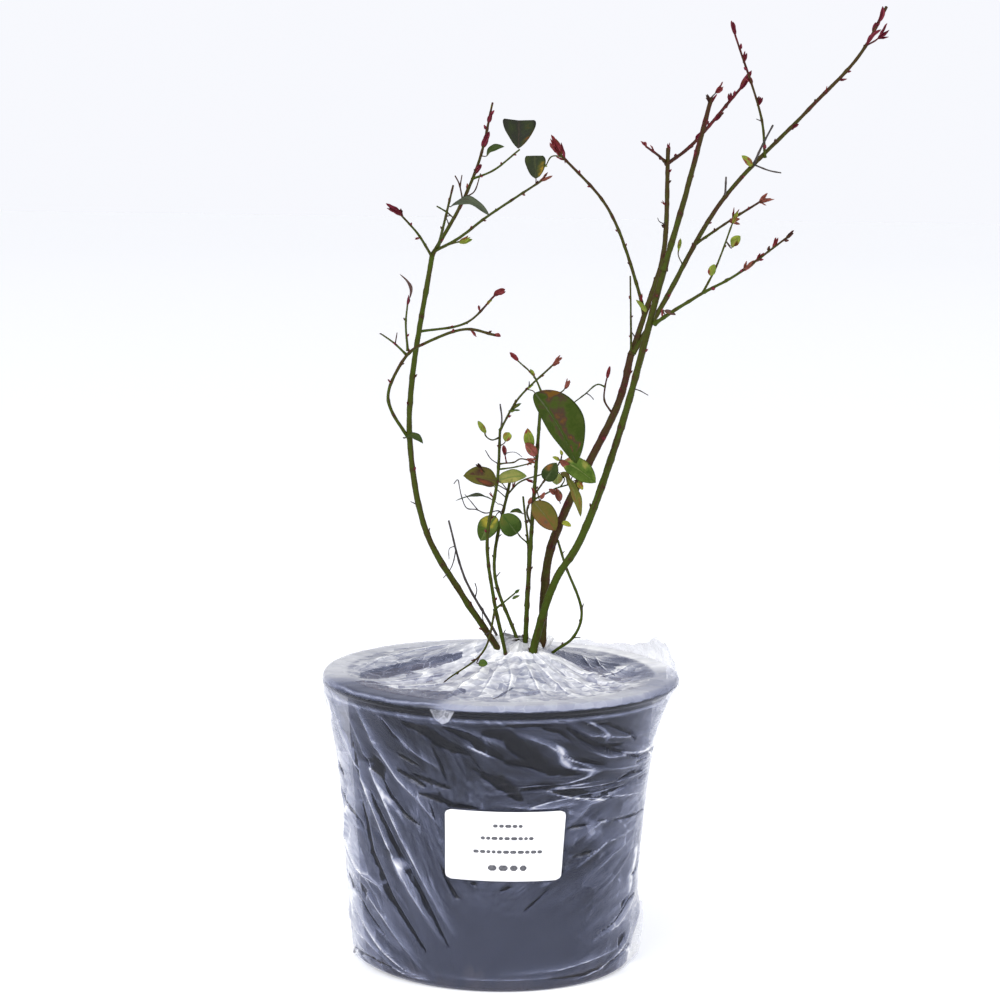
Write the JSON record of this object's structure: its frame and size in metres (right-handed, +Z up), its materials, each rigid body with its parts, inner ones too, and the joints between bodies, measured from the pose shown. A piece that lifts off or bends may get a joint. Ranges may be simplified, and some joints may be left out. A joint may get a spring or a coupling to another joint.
{
  "type": "blueberry bush in a nursery pot",
  "caption": "Young, nearly bare blueberry bush with thin arching canes, in a round plastic nursery pot wrapped in clear film with a paper label.",
  "frame": {"origin": "centre of the pot's flat underside", "axes": "+Z up along the pot's axis, -Y towards the label at the front, +X to the right seen from the front"},
  "size_m": [0.308, 0.2151, 0.5144],
  "materials": {
    "pot": "black moulded polypropylene, faint satin",
    "compost": "moist peaty compost with bark crumbs",
    "film": "thin clear polythene, creased, milky where it is crumpled",
    "label": "smooth white self-adhesive paper",
    "bark_green": "smooth young green bark with fine lines",
    "bark_brown": "older brown-red bark with fine cracks",
    "bark_red": "smooth red winter shoots",
    "dead_wood": "dry grey-brown dead twig",
    "leaf": "smooth green leaves with a soft sheen",
    "leaf_autumn": "leaves turned orange-brown and purple"
  },
  "bodies": {
    "root": {"pot": "pot", "compost": "compost", "film_sleeve": "film", "film_top": "film", "label": "label", "left_cane": "bark_green", "left_cane_reach": "bark_green", "left_cane_spur": "bark_green", "left_cane_prong": "bark_green", "left_cane_blade": "bark_green", "left_low_bough": "bark_green", "left_low_shoot": "bark_green", "left_low_spur": "bark_green", "left_mid_bough": "bark_green", "middle_cane": "bark_green", "middle_cane_top": "bark_green", "cut_cane": "bark_green", "cut_cane_twig": "bark_green", "fine_cane": "bark_green", "fine_cane_tip": "bark_green", "fine_cane_twin": "bark_green", "back_thin_shoot": "bark_green", "back_arch": "bark_green", "back_reach": "bark_green", "back_reach_shoot": "bark_green", "back_reach_bough": "bark_green", "front_cane": "bark_green", "front_cane_top": "bark_green", "front_bough": "bark_green", "front_bough_right": "bark_green", "front_bough_left": "bark_green", "loop_cane": "bark_green", "low_twig": "bark_green", "low_twig_shoot": "bark_green", "fine_cane_hook": "bark_brown", "back_cane": "bark_brown", "back_upright": "bark_brown", "left_cane_top": "bark_red", "back_upright_spur": "bark_red", "back_upright_shoot": "bark_red", "dead_cane": "dead_wood", "leaves_low_left": "leaf", "leaves_middle_right": "leaf", "leaf_large": "leaf", "leaves_top_left": "leaf", "leaves_top_middle": "leaf", "leaves_right": "leaf", "leaves_low_right": "leaf_autumn", "leaves_top_tip": "leaf_autumn"}
  },
  "joints": []
}
